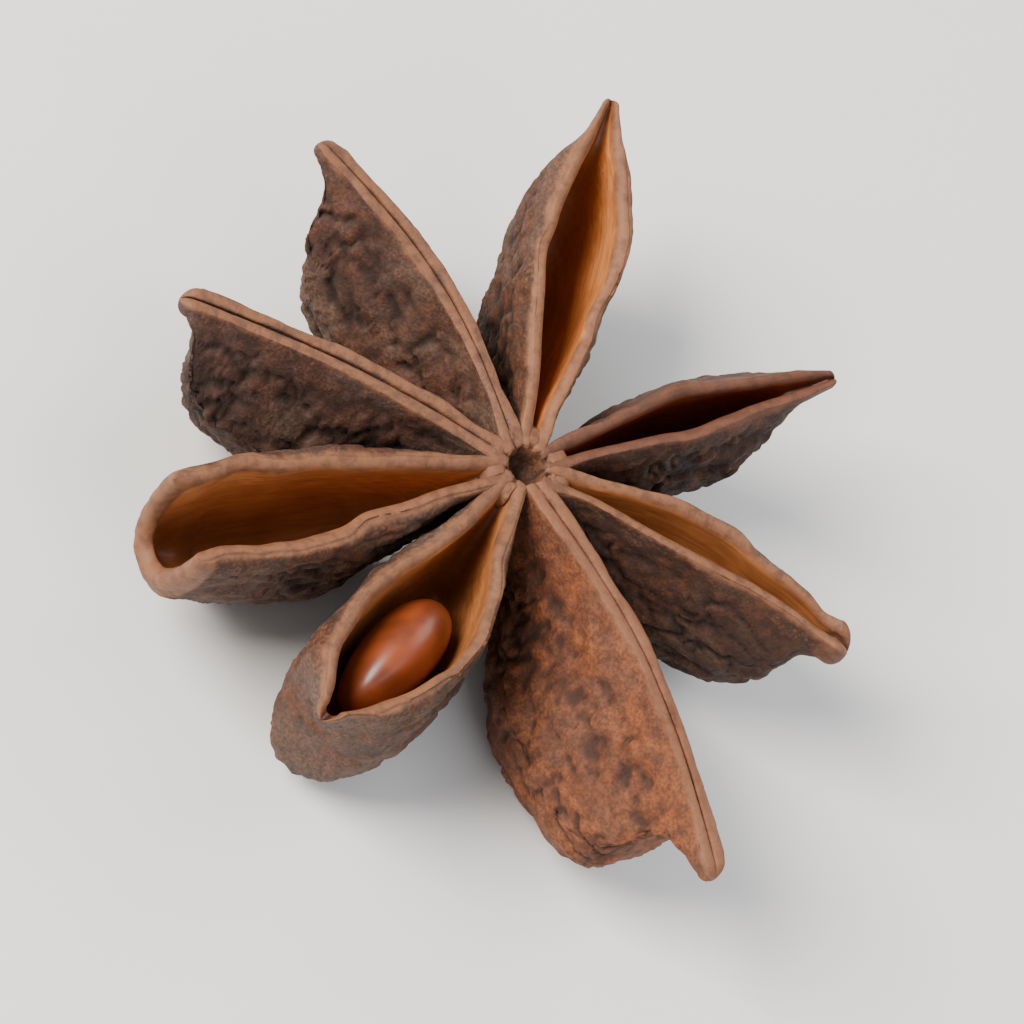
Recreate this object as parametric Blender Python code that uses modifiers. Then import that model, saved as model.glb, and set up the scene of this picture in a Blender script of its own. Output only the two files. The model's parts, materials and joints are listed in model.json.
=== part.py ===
"""A star anise pod: eight boat-shaped follicles joined round a short central column.

The pod lies seams up, as it rests on a table, on the bellies of its follicles. Its frame has +Z up
and its origin at the bottom centre of its box. Each follicle is one loft from its root in the
column to its beak. The section of the loft is the outline of a boat cut across: two flanks that
meet at the belly, two lips at the seam, and between the lips the hollow that held the seed. Shut
follicles keep only the groove of the seam. Lengths are in millimetres up to the last step, where
MM turns them to metres.
"""

from dataclasses import dataclass

import bmesh
import bpy
import numpy as np

MM = 0.001

# Heights above the table, and the column.
SEAM_HEIGHT = 8.3
COLUMN_RADIUS = 1.9
COLUMN_STEPS = 30
DIMPLE_RADIUS = 0.75
DIMPLE_DEPTH = 1.3
SCAR_RADIUS = 2.25
SCAR_HEIGHT = 2.3
SCAR_EDGE = 0.35
COLUMN_SINK = 0.35  # how far the column's rim lies under the seams

# What all follicles share.
ROOT_RADIUS = 0.75
LIP_THICKNESS = 0.5
LIP_CROWN = 0.12
WALL_THICKNESS = 0.75
GROOVE_WIDTH = 0.26
GROOVE_DEPTH = 0.45
LEAN = 10.0
SEAM_DIP = 0.5  # how far the seam starts under SEAM_HEIGHT, in the column
MIN_COVER = 0.3  # how far the hollow starts under the crown of the lips
UNDERCUT = 1.0  # the most that the hollow is wider than the gap over it, on each side
FULL_GAPE = 2.4  # the gape from which a follicle has the section of an open one

# How a follicle grows from root to beak: places along its body, and shares of its depth and half
# width there. A blunt or a split follicle has more of both near its beak.
BODY_PLACES = (0, 0.16, 0.34, 0.55, 0.76, 0.90, 1)
DEPTH_SHARES = (0.58, 0.66, 0.86, 1, 0.82, 0.48)
DEPTH_IF_BLUNT = (0, 0, 0, 0, 0.15, 0.38)
WIDTH_SHARES = (0.24, 0.42, 0.74, 0.97, 0.98, 0.72)
WIDTH_IF_BLUNT = (0, 0, 0, 0, 0, 0.1)
WIDTH_IF_SPLIT = (0, 0, 0, 0, 0, 0.12)
TIP_DEPTH = 1.3  # depth of a beak's end as a share of the size across it
TIP_HALF_WIDTH = 0.62
SPLIT_DEPTH = 0.35  # share of its depth that a split follicle keeps at its end

# The section: level of the widest place as a share of the depth, and the powers of the ovals.
WIDEST_SHUT = 0.62
WIDEST_LIFT = 0.34
ROOF_SHUT = 1.9
ROOF_DROP = 1.1
OVAL = 0.8

# How finely a loft is faceted.
STATIONS = 17
CROWDING = 1.25  # above 1 the stations stand closer towards the beak
FLANK_POINTS = 5
HOLLOW_POINTS = 3

# The table that the bellies are cut flat by.
TABLE_SIZE = 60.0
TABLE_THICKNESS = 10.0

HUSK_COLOUR = (0.155, 0.070, 0.036, 1.0)
HUSK_ROUGHNESS = 0.72


@dataclass(frozen=True)
class Follicle:
    """One follicle. Lengths are in millimetres and angles in degrees."""

    azimuth: float  # direction it points in, seen from above
    length: float  # from the pod's axis to the end of its beak
    depth: float  # from the seam to the belly, where it is deepest
    width: float  # across its flanks, where it is widest
    gape: float = 0.0  # widest gap between its lips, 0 if it is shut
    gape_at: float = 0.6  # where along the seam the gap is widest, as a share of its length
    hollow: float = 0.0  # depth of the hollow under the lips
    split: float = 0.0  # share of the gape that is left at the beak
    rise: float = 0.0  # height of the beak above the seam's start
    blunt: float = 0.5  # 0 tapers to its beak, 1 drops straight down from it
    beak: float = 0.12  # the beak's share of the length
    tip: float = 0.5  # across the end of the beak
    roll: float = 0.0  # how far the seam leans over anticlockwise, seen from the axis
    sway: float = 0.0  # how far the beak swings anticlockwise, in millimetres
    bow: float = 0.0  # how far the middle of the seam bows anticlockwise, in millimetres


FOLLICLES = (
    Follicle(azimuth=117.5, length=15.2, depth=8.75, width=4.5, gape=2.2, gape_at=0.62, hollow=5.6,
             rise=1.0, blunt=0.2, beak=0.10, tip=0.4, sway=0.6),
    Follicle(azimuth=63.2, length=13.1, depth=7.9, width=4.3, gape=0.85, gape_at=0.5, hollow=4.2,
             rise=0.7, blunt=0.2, beak=0.14, tip=0.45, bow=0.3),
    Follicle(azimuth=20.4, length=14.0, depth=8.4, width=4.8, gape=0.75, gape_at=0.42, hollow=4.0,
             rise=-0.3, blunt=0.6, beak=0.10, tip=0.9, sway=-0.6, bow=0.6),
    Follicle(azimuth=335.4, length=17.1, depth=8.8, width=6.0, rise=0.5, blunt=0.8, beak=0.14,
             tip=0.6, bow=1.1, roll=-13.0),
    Follicle(azimuth=275.4, length=13.5, depth=8.5, width=5.6, gape=3.5, gape_at=0.66, hollow=5.4,
             rise=-0.1, blunt=0.95, beak=0.05, bow=0.5, roll=6.0),
    Follicle(azimuth=238.8, length=14.2, depth=8.5, width=5.0, gape=2.5, gape_at=0.88, hollow=5.6,
             split=0.9, rise=0.3, blunt=0.7, beak=0.05),
    Follicle(azimuth=203.3, length=14.4, depth=8.3, width=5.0, rise=0.5, blunt=0.5, beak=0.06,
             bow=-0.5),
    Follicle(azimuth=168.0, length=14.3, depth=8.8, width=5.3, rise=0.7, blunt=0.15, beak=0.10,
             bow=-1.1),
)


def smooth_curve(knots, values, at):
    """Values at the places `at` on a smooth curve through the knots that doesn't overshoot them.

    Between two knots it is the cubic whose slopes at both are the limited mean of the slopes of
    the straight lines on either side.
    """
    knots, values = np.asarray(knots, float), np.asarray(values, float)
    steps = np.diff(knots)
    lines = np.diff(values) / steps
    slopes = np.zeros_like(values)
    same_way = lines[:-1] * lines[1:] > 0
    harmonic = 2 * lines[:-1] * lines[1:] / np.where(same_way, lines[:-1] + lines[1:], 1)
    slopes[1:-1] = np.where(same_way, harmonic, 0)
    slopes[0], slopes[-1] = lines[0], lines[-1]
    place = np.clip(np.searchsorted(knots, at, side="right") - 1, 0, len(steps) - 1)
    step = steps[place]
    t = (at - knots[place]) / step
    return (
        (1 + 2 * t) * (1 - t) ** 2 * values[place]
        + t * (1 - t) ** 2 * step * slopes[place]
        + t * t * (3 - 2 * t) * values[place + 1]
        + t * t * (t - 1) * step * slopes[place + 1]
    )


def along_the_seam(follicle):
    """Depth, half width, half gap and hollow of a follicle at each station from root to beak."""
    share = 1 - (1 - np.linspace(0, 1, STATIONS)) ** CROWDING
    body_end = 1 - follicle.beak
    knots = (*(body_end * np.array(BODY_PLACES)), 1)
    blunt, kept = follicle.blunt, follicle.split
    tip_depth = TIP_DEPTH * follicle.tip / follicle.depth + SPLIT_DEPTH * kept
    shape = np.array(DEPTH_SHARES) + np.array(DEPTH_IF_BLUNT) * blunt
    depth = follicle.depth * smooth_curve(
        knots, (*shape, 1.4 * tip_depth + 0.05 + 0.08 * blunt, tip_depth), share
    )
    half = follicle.width / 2
    tip_half = TIP_HALF_WIDTH * follicle.tip + kept * (follicle.gape / 2 + LIP_THICKNESS)
    shape = np.array(WIDTH_SHARES) + np.array(WIDTH_IF_BLUNT) * blunt + np.array(WIDTH_IF_SPLIT) * kept
    shape = half * shape
    half_width = smooth_curve(knots, (*shape, 0.25 * half + 0.8 * tip_half, tip_half), share)
    opening = smooth_curve(
        (0, 0.10, follicle.gape_at, body_end, 1), (0, 0.08, 1, 0.2 + 0.8 * kept, kept), share
    )
    half_gap = GROOVE_WIDTH / 2 * np.minimum(1, half_width / half + 0.3)
    half_gap = half_gap + follicle.gape / 2 * opening
    emptied = smooth_curve(
        (0, 0.08, 0.35, 0.7, body_end, 1), (0, 0.1, 0.9, 1, 0.25 + 0.75 * kept, kept), share
    )
    groove = GROOVE_DEPTH * (0.12 + 0.88 * np.sin(np.pi * share))
    hollow = np.minimum(groove + follicle.hollow * emptied, depth * (0.66 + 0.15 * kept))
    return share, depth, half_width, half_gap, hollow


def boat_section(depth, half_width, half_gap, hollow, gape_share):
    """Outline of one section as (across, down) pairs, from the belly round and back to it.

    Both flanks are quarters of ovals above and below the widest level. A shut follicle is widest
    low down and its flanks lean together like a roof; an open one is widest near its lips. The
    lips are rounded, and the hollow is an oval that is wider than the gap over it.
    """
    widest = WIDEST_SHUT - WIDEST_LIFT * gape_share
    roof = ROOF_SHUT - ROOF_DROP * gape_share
    lip_out = min(half_gap + LIP_THICKNESS, half_width * 0.9)
    lip_in = min(half_gap, lip_out * 0.8)
    low = np.linspace(np.pi / 2, 0, FLANK_POINTS)[1:]
    high = np.linspace(0, np.pi / 2, FLANK_POINTS)[1:]
    flank = [(half_width * np.cos(a) ** OVAL, depth * (widest + (1 - widest) * np.sin(a))) for a in low]
    flank += [
        (lip_out + (half_width - lip_out) * np.cos(a) ** roof, depth * widest * (1 - np.sin(a) ** roof))
        for a in high
    ]
    crown = [((lip_out + lip_in) / 2, -min(LIP_CROWN, depth * 0.1))]
    top = min(MIN_COVER, hollow * 0.4)
    room = lip_in + gape_share * max(0, min(half_width - WALL_THICKNESS - lip_in, UNDERCUT))
    inner = [
        (np.cos(a) ** OVAL * (lip_in + (room - lip_in) * np.sin(2 * a)), top + (hollow - top) * np.sin(a))
        for a in np.linspace(0, np.pi / 2, HOLLOW_POINTS + 1)[:-1]
    ]
    right = flank + crown + inner
    left = [(-across, down) for across, down in reversed(right)]
    return np.array([(0.0, depth)] + right + [(0.0, hollow)] + left)


def follicle_rings(follicle):
    """Points of a follicle about the pod's axis, as rings of sections from root to beak.

    A section hangs from the seam. Towards the beak it leans outwards, so that the belly reaches
    past the lips, and it rolls about the seam by the follicle's roll.
    """
    share, depth, half_width, half_gap, hollow = along_the_seam(follicle)
    turn = np.radians(follicle.azimuth)
    out = np.array((np.cos(turn), np.sin(turn), 0.0))
    aside = np.array((-np.sin(turn), np.cos(turn), 0.0))
    up = np.array((0.0, 0.0, 1.0))
    gape_share = min(1.0, follicle.gape / FULL_GAPE)
    leaning = smooth_curve((0, 0.35, 0.85, 1), (0, 0, 1, 0.2 + 0.8 * follicle.split), share)
    rings = []
    for i, s in enumerate(share):
        seam = (
            out * (ROOT_RADIUS + (follicle.length - ROOT_RADIUS) * s)
            + aside * (follicle.sway * s * s + follicle.bow * np.sin(np.pi * s))
            + up * (SEAM_HEIGHT - SEAM_DIP * (1 - s) ** 3 + follicle.rise * s * s)
        )
        roll = np.radians(follicle.roll) * np.sin(np.pi * s)
        lean = np.radians(LEAN) * follicle.blunt * leaning[i]
        side = aside * np.cos(roll) + up * np.sin(roll)
        down = aside * np.sin(roll) - up * np.cos(roll)
        down = down * np.cos(lean) + out * np.sin(lean)
        section = boat_section(depth[i], half_width[i], half_gap[i], hollow[i], gape_share)
        rings.append(seam + section[:, :1] * side + section[:, 1:] * down)
    return np.array(rings)


def loft(name, rings, collection):
    """A closed mesh object through the rings, with one flat face over each end."""
    mesh = bmesh.new()
    grid = [[mesh.verts.new(point * MM) for point in ring] for ring in rings]
    count = len(grid[0])
    for near, far in zip(grid, grid[1:]):
        for i in range(count):
            j = (i + 1) % count
            mesh.faces.new((near[i], near[j], far[j], far[i]))
    mesh.faces.new(grid[0])
    mesh.faces.new(grid[-1])
    bmesh.ops.recalc_face_normals(mesh, faces=mesh.faces)
    data = bpy.data.meshes.new(name)
    mesh.to_mesh(data)
    mesh.free()
    made = bpy.data.objects.new(name, data)
    collection.objects.link(made)
    return made


def column(name, collection):
    """The central column, turned: a dimple on top, a waist, and the stalk's flat scar below."""
    top = SEAM_HEIGHT - COLUMN_SINK
    waist = (top + SCAR_HEIGHT) / 2
    profile = (
        (0.0, top - DIMPLE_DEPTH),
        (DIMPLE_RADIUS * 0.7, top - DIMPLE_DEPTH * 0.8),
        (DIMPLE_RADIUS, top - DIMPLE_DEPTH * 0.3),
        (DIMPLE_RADIUS * 1.5, top),
        (COLUMN_RADIUS * 0.85, top - 0.1),
        (COLUMN_RADIUS, top - 0.7),
        (COLUMN_RADIUS * 0.95, waist),
        (SCAR_RADIUS, SCAR_HEIGHT + SCAR_EDGE),
        (SCAR_RADIUS - SCAR_EDGE, SCAR_HEIGHT),
        (0.0, SCAR_HEIGHT),
    )
    data = bpy.data.meshes.new(name)
    points = [(radius * MM, 0.0, height * MM) for radius, height in profile]
    data.from_pydata(points, [(i, i + 1) for i in range(len(points) - 1)], [])
    made = bpy.data.objects.new(name, data)
    collection.objects.link(made)
    turning = made.modifiers.new("turning", "SCREW")
    turning.axis = "Z"
    turning.steps = turning.render_steps = COLUMN_STEPS
    turning.use_merge_vertices = True
    turning.merge_threshold = 0.00001
    return made


def table(name, collection):
    """A slab whose top is the table that the pod rests on, to cut the bellies flat."""
    mesh = bmesh.new()
    bmesh.ops.create_cube(mesh, size=1.0)
    size = (TABLE_SIZE * MM, TABLE_SIZE * MM, TABLE_THICKNESS * MM)
    bmesh.ops.scale(mesh, vec=size, verts=mesh.verts)
    bmesh.ops.translate(mesh, vec=(0, 0, -TABLE_THICKNESS * MM / 2), verts=mesh.verts)
    data = bpy.data.meshes.new(name)
    mesh.to_mesh(data)
    mesh.free()
    made = bpy.data.objects.new(name, data)
    collection.objects.link(made)
    return made


def husk():
    """The dry, dull husk that the whole pod is made of."""
    material = bpy.data.materials.new("husk")
    material.use_nodes = True
    shader = material.node_tree.nodes["Principled BSDF"]
    shader.inputs["Base Color"].default_value = HUSK_COLOUR
    shader.inputs["Roughness"].default_value = HUSK_ROUGHNESS
    shader.inputs["Metallic"].default_value = 0.0
    return material


def clear_scene():
    """Removes every object that the scene starts with."""
    for old in list(bpy.data.objects):
        bpy.data.objects.remove(old)


def collection_named(name):
    """A new collection in the scene."""
    made = bpy.data.collections.new(name)
    bpy.context.scene.collection.children.link(made)
    return made


def main():
    """Builds the pod: the column, joined with the follicles and cut flat by the table."""
    clear_scene()
    parts = collection_named("star anise pod")
    joined = collection_named("follicles")
    cutters = collection_named("cutters")

    every_ring = [follicle_rings(follicle) for follicle in FOLLICLES]
    points = np.concatenate([rings.reshape(-1, 3) for rings in every_ring])
    middle = (points.min(axis=0) + points.max(axis=0)) / 2
    axis = bpy.data.objects.new("pod_axis", None)
    axis.location = (-middle[0] * MM, -middle[1] * MM, 0.0)
    parts.objects.link(axis)

    pod = column("pod", parts)
    guides = [loft(f"follicle_{i}", rings, joined) for i, rings in enumerate(every_ring, 1)]
    guides.append(table("table", cutters))
    for guide in guides:
        guide.hide_render = True
        guide.display_type = "WIRE"
    for placed in [pod, *guides]:
        placed.parent = axis

    joining = pod.modifiers.new("follicles", "BOOLEAN")
    joining.operation = "UNION"
    joining.operand_type = "COLLECTION"
    joining.collection = joined
    joining.solver = "EXACT"
    resting = pod.modifiers.new("table", "BOOLEAN")
    resting.operation = "DIFFERENCE"
    resting.object = guides[-1]
    resting.solver = "EXACT"
    pod.data.materials.append(husk())


main()
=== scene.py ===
"""Looks of a star anise pod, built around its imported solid.

The pod is one dry husk: eight boat-shaped follicles joined round a short column. Every follicle is
a grid of points worked out from its sizes, from its root in the column to its beak, and its husk
gets lumps, creases and grain as real relief. Lengths are in millimetres until a mesh is made.
"""

import json
import logging
from dataclasses import dataclass, field
from enum import Enum
from typing import Any

import bmesh
import bpy
import numpy as np
from mathutils import Matrix, Vector

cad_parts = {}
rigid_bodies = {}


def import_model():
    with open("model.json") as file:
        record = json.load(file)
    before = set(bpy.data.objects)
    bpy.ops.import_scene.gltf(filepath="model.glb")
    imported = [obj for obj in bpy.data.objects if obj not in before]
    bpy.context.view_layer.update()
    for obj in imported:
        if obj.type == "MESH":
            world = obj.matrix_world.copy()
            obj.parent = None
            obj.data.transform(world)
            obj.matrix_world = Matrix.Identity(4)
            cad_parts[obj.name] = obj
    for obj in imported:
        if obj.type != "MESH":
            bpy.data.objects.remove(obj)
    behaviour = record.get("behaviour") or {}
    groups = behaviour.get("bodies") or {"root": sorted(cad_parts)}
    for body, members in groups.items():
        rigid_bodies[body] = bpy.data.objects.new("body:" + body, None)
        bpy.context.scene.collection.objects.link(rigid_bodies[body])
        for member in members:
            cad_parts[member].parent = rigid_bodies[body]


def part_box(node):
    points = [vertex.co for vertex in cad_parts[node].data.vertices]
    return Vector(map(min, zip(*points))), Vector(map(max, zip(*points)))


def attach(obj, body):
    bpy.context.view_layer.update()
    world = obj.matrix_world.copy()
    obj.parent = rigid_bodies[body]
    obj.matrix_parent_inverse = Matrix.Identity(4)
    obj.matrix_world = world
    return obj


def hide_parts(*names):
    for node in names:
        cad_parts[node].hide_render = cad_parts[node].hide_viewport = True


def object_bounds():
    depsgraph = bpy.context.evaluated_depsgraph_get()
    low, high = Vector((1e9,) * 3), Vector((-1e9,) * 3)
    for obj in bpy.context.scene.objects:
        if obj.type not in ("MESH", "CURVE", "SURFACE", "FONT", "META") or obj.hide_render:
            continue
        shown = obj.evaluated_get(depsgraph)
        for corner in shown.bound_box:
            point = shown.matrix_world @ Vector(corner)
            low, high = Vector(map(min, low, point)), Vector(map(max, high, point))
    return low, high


for _left_over in list(bpy.data.objects):
    bpy.data.objects.remove(_left_over)

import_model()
CAD_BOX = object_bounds()

MM = 0.001
POD_NODE = "pod"
LOCAL_LAYER = "local"  # a point's place in its own piece, in millimetres, with the length first
HUSK_LAYERS = ("lip", "inside", "deep", "crease", "crack_shade")  # what the husk's material reads

log = logging.getLogger("star_anise")

Grid = np.ndarray  # points or values on a grid of stations by ring points


class Seam(Enum):
    """How far the seam of a follicle has opened."""

    SHUT = "shut"
    GAPING = "gaping"
    SPLIT = "split"


# --- numbers -----------------------------------------------------------------------------------


def smooth_curve(knots: Any, values: Any, at: Grid) -> Grid:
    """Values on a smooth curve through a few knots, which never overshoots them.

    Between two knots the curve is the cubic whose end slopes are the harmonic mean of the slopes
    of the straight lines on either side, or nothing where those lines turn back.

    Args:
        knots: rising places along the curve.
        values: the value at each knot.
        at: where to read the curve.

    Returns:
        The curve's values, in the shape of `at`.
    """
    knots, values = np.asarray(knots, float), np.asarray(values, float)
    steps = np.diff(knots)
    lines = np.diff(values) / steps
    slopes = np.zeros_like(values)
    same_way = lines[:-1] * lines[1:] > 0
    harmonic = 2 * lines[:-1] * lines[1:] / np.where(same_way, lines[:-1] + lines[1:], 1)
    slopes[1:-1] = np.where(same_way, harmonic, 0)
    slopes[0], slopes[-1] = lines[0], lines[-1]
    place = np.clip(np.searchsorted(knots, at, side="right") - 1, 0, len(steps) - 1)
    step = steps[place]
    t = (at - knots[place]) / step
    return (
        (1 + 2 * t) * (1 - t) ** 2 * values[place]
        + t * (1 - t) ** 2 * step * slopes[place]
        + t * t * (3 - 2 * t) * values[place + 1]
        + t * t * (t - 1) * step * slopes[place + 1]
    )


def ramp(low: float, high: float, value: Grid) -> Grid:
    """Rises smoothly from 0 at `low` to 1 at `high`, and falls if `high` is the lower one."""
    t = np.clip((value - low) / (high - low), 0, 1)
    return t * t * (3 - 2 * t)


def hashed(cell: Grid, seed: int) -> Grid:
    """A random value for each place of the unit lattice, by mixing the bits of its numbers.

    Args:
        cell: whole-number places, with their three coordinates last.
        seed: picks one of many unlike fields.

    Returns:
        One value from 0 to 1 for each place.
    """
    x, y, z = cell[..., 0], cell[..., 1], cell[..., 2]
    key = (x * 73856093 ^ y * 19349663 ^ z * 83492791 ^ seed * 2654435761) & 0xFFFFFFFF
    key = (key ^ (key >> 15)) * 2246822519 & 0xFFFFFFFF
    key = (key ^ (key >> 13)) * 3266489917 & 0xFFFFFFFF
    return (key ^ (key >> 16)) / 0xFFFFFFFF


def noise(points: Grid, seed: int) -> Grid:
    """Smooth random values between 0 and 1, about one bump to a unit of length.

    Each corner of the unit lattice gets a value from a hash of its whole-number place, and a point
    blends the values of the eight corners round it with a fifth-power fade.

    Args:
        points: places, with their three coordinates last.
        seed: picks one of many unlike fields.

    Returns:
        One value for each place.
    """
    cell = np.floor(points)
    part = points - cell
    fade = part**3 * (part * (part * 6 - 15) + 10)
    cell = cell.astype(np.int64)
    total = np.zeros(points.shape[:-1])
    for dx in (0, 1):
        for dy in (0, 1):
            for dz in (0, 1):
                corner = (dx, dy, dz)
                share = [fade[..., k] if corner[k] else 1 - fade[..., k] for k in range(3)]
                total += share[0] * share[1] * share[2] * hashed(cell + corner, seed)
    return total


def layered_noise(points: Grid, seed: int, layers: int = 3) -> Grid:
    """Noise with finer and weaker noise on top, each layer twice as fine and half as strong.

    Args:
        points: places, with their three coordinates last.
        seed: picks one of many unlike fields.
        layers: how many layers there are.

    Returns:
        One value between 0 and 1 for each place.
    """
    finer = 2.03  # a little over two, so that the layers' lattices don't line up
    total = np.zeros(points.shape[:-1])
    whole = 0.0
    for layer in range(layers):
        total += noise(points * finer**layer, seed + 101 * layer) / 2**layer
        whole += 1 / 2**layer
    return total / whole


def creases(points: Grid, seed: int, sharpness: float = 0.6) -> Grid:
    """A field of rounded lumps parted by sharp creases: 0 on the lumps and 1 in the creases.

    A crease runs wherever layered noise passes through its middle value. A lump's top begins where
    the noise has gone one part in `steepness` of the way from there to its end.

    Args:
        points: places, with their three coordinates last.
        seed: picks one of many unlike fields.
        sharpness: the power that shapes a crease, sharper the lower it is.

    Returns:
        One value for each place.
    """
    steepness = 2.2
    swing = np.abs(2 * layered_noise(points, seed, 2) - 1) * steepness
    return 1 - np.clip(swing, 0, 1) ** sharpness


# --- meshes ------------------------------------------------------------------------------------


def normals_of(points: Grid) -> Grid:
    """Unit normals of a grid that is closed around its rings, from the cross of its two slopes.

    Args:
        points: stations by ring points by three.

    Returns:
        The normals, in the shape of `points`.
    """
    around = np.roll(points, -1, axis=1) - np.roll(points, 1, axis=1)
    along = np.gradient(points, axis=0)
    normal = np.cross(around, along)
    return normal / np.maximum(np.linalg.norm(normal, axis=-1, keepdims=True), 1e-9)


def mesh_of(name: str, points: Grid, layers: dict[str, Grid], local: Grid) -> bpy.types.Object:
    """A closed, smooth mesh object from a grid whose end rings are each drawn to a point.

    Args:
        name: the piece's name.
        points: millimetres, as stations by ring points by three.
        layers: a number for each point, to be kept under these attribute names.
        local: each point's place in its own piece, in millimetres, with the length first.

    Returns:
        The object, at the origin, with its place in its mesh.
    """
    stations, count = points.shape[:2]
    index = np.arange(stations * count).reshape(stations, count)
    nxt = np.roll(index, -1, axis=1)
    quads = np.stack([index[:-1], index[1:], nxt[1:], nxt[:-1]], axis=-1).reshape(-1, 4)
    mesh = bpy.data.meshes.new(name)
    mesh.vertices.add(stations * count)
    mesh.vertices.foreach_set("co", (points * MM).astype(np.float32).ravel())
    mesh.loops.add(quads.size)
    mesh.loops.foreach_set("vertex_index", quads.astype(np.int32).ravel())
    mesh.polygons.add(len(quads))
    mesh.polygons.foreach_set("loop_start", np.arange(0, quads.size, 4, dtype=np.int32))
    mesh.update(calc_edges=True)
    for layer, values in layers.items():
        kept = mesh.attributes.new(layer, "FLOAT", "POINT")
        whole = np.broadcast_to(values, (stations, count))
        kept.data.foreach_set("value", whole.astype(np.float32).ravel())
    kept = mesh.attributes.new(LOCAL_LAYER, "FLOAT_VECTOR", "POINT")
    kept.data.foreach_set("vector", local.astype(np.float32).ravel())
    work = bmesh.new()
    work.from_mesh(mesh)
    bmesh.ops.remove_doubles(work, verts=work.verts, dist=1e-7)
    bmesh.ops.recalc_face_normals(work, faces=work.faces)
    if work.calc_volume(signed=True) < 0:
        bmesh.ops.reverse_faces(work, faces=work.faces)
    work.to_mesh(mesh)
    work.free()
    mesh.shade_smooth()
    made = bpy.data.objects.new(name, mesh)
    bpy.context.scene.collection.objects.link(made)
    return made


# --- finishes ----------------------------------------------------------------------------------


def linear(colour: str) -> tuple[float, float, float, float]:
    """Turns an sRGB colour to linear, by the sRGB curve.

    Args:
        colour: the colour in hex, such as "#a0704e".

    Returns:
        Red, green, blue and alpha from 0 to 1.
    """
    parts = [int(colour[i : i + 2], 16) / 255 for i in (1, 3, 5)]
    red, green, blue = (p / 12.92 if p <= 0.04045 else ((p + 0.055) / 1.055) ** 2.4 for p in parts)
    return red, green, blue, 1.0


def add(
    tree: bpy.types.NodeTree, kind: str, inputs: dict[Any, Any] | None = None, **settings: Any
) -> bpy.types.Node:
    """Adds a node with its settings, its values and its links.

    Args:
        tree: the node tree.
        kind: the node's type.
        inputs: input name or number to a value, or to the output socket that feeds it.
        settings: the node's own properties.

    Returns:
        The node.
    """
    made = tree.nodes.new(kind)
    for key, value in settings.items():
        setattr(made, key, value)
    for key, value in (inputs or {}).items():
        if isinstance(value, bpy.types.NodeSocket):
            tree.links.new(value, made.inputs[key])
        else:
            made.inputs[key].default_value = value
    return made


def new_material(name: str) -> tuple[bpy.types.Material, bpy.types.NodeTree]:
    """Makes an empty material with nodes.

    Args:
        name: the material's name.

    Returns:
        The material and its node tree.
    """
    material = bpy.data.materials.new(name)
    material.use_nodes = True
    material.node_tree.nodes.clear()
    return material, material.node_tree


def coated(
    tree: bpy.types.NodeTree,
    base: Any,
    over: Any,
    number: Any,
    span: tuple[float, float],
    most: Any = 1.0,
) -> Any:
    """One colour laid over another where a number runs through a span.

    Args:
        tree: the material's node tree.
        base: the colour below.
        over: the colour on top.
        number: the output socket that says how much of it shows.
        span: the numbers where the top colour starts to show, and where it shows most.
        most: the share of the top colour there, as a number or an output socket.

    Returns:
        The colour, as an output socket.
    """
    share = add(
        tree,
        "ShaderNodeMapRange",
        {"Value": number, "From Min": span[0], "From Max": span[1], "To Max": most},
        interpolation_type="SMOOTHSTEP",
    ).outputs["Result"]
    return add(tree, "ShaderNodeMix", {0: share, 6: base, 7: over}, data_type="RGBA").outputs[2]


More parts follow.
